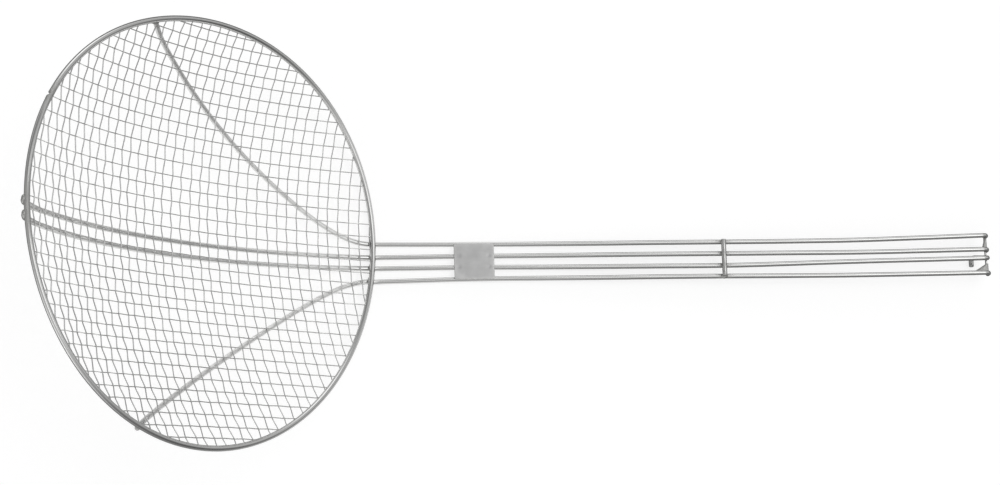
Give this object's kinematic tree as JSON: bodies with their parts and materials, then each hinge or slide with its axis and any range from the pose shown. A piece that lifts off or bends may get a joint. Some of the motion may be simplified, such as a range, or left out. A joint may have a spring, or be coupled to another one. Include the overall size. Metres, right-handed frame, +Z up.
{
  "type": "frying strainer",
  "caption": "Shallow round bowl of woven wire mesh in a wire hoop, carried by long parallel wires that form the handle, for lifting food out of hot oil.",
  "frame": {"origin": "under the middle of the object's box, on the surface that the strainer lies on", "axes": "+X from the bowl along the handle to its hook, +Y to the left seen from above with the handle pointing away, +Z up, with the strainer lying on its handle and hook and the bowl's mouth facing up and towards the handle"},
  "size_m": [0.5372, 0.2292, 0.1438],
  "materials": {
    "rim_wire": "bright nickel plate on drawn steel wire",
    "frame_wire": "bright nickel plate on drawn steel wire",
    "mesh_wire": "nickel plate on crimped steel wire",
    "plate_sheet": "dull nickel plate on steel sheet"
  },
  "bodies": {
    "root": {"rim_hoop": "rim_wire", "frame_wire_outer_left": "frame_wire", "frame_wire_inner_left": "frame_wire", "frame_wire_inner_right": "frame_wire", "frame_wire_outer_right": "frame_wire", "grip_plate": "plate_sheet", "grip_cross_bar": "frame_wire", "end_spacer_left": "frame_wire", "end_spacer_middle": "frame_wire", "end_spacer_right": "frame_wire", "mesh_along_01": "mesh_wire", "mesh_along_02": "mesh_wire", "mesh_along_03": "mesh_wire", "mesh_along_04": "mesh_wire", "mesh_along_05": "mesh_wire", "mesh_along_06": "mesh_wire", "mesh_along_07": "mesh_wire", "mesh_along_08": "mesh_wire", "mesh_along_09": "mesh_wire", "mesh_along_10": "mesh_wire", "mesh_along_11": "mesh_wire", "mesh_along_12": "mesh_wire", "mesh_along_13": "mesh_wire", "mesh_along_14": "mesh_wire", "mesh_along_15": "mesh_wire", "mesh_along_16": "mesh_wire", "mesh_along_17": "mesh_wire", "mesh_along_18": "mesh_wire", "mesh_along_19": "mesh_wire", "mesh_along_20": "mesh_wire", "mesh_along_21": "mesh_wire", "mesh_along_22": "mesh_wire", "mesh_across_01": "mesh_wire", "mesh_across_02": "mesh_wire", "mesh_across_03": "mesh_wire", "mesh_across_04": "mesh_wire", "mesh_across_05": "mesh_wire", "mesh_across_06": "mesh_wire", "mesh_across_07": "mesh_wire", "mesh_across_08": "mesh_wire", "mesh_across_09": "mesh_wire", "mesh_across_10": "mesh_wire", "mesh_across_11": "mesh_wire", "mesh_across_12": "mesh_wire", "mesh_across_13": "mesh_wire", "mesh_across_14": "mesh_wire", "mesh_across_15": "mesh_wire", "mesh_across_16": "mesh_wire", "mesh_across_17": "mesh_wire", "mesh_across_18": "mesh_wire", "mesh_across_19": "mesh_wire", "mesh_across_20": "mesh_wire", "mesh_across_21": "mesh_wire", "mesh_across_22": "mesh_wire"}
  },
  "joints": []
}
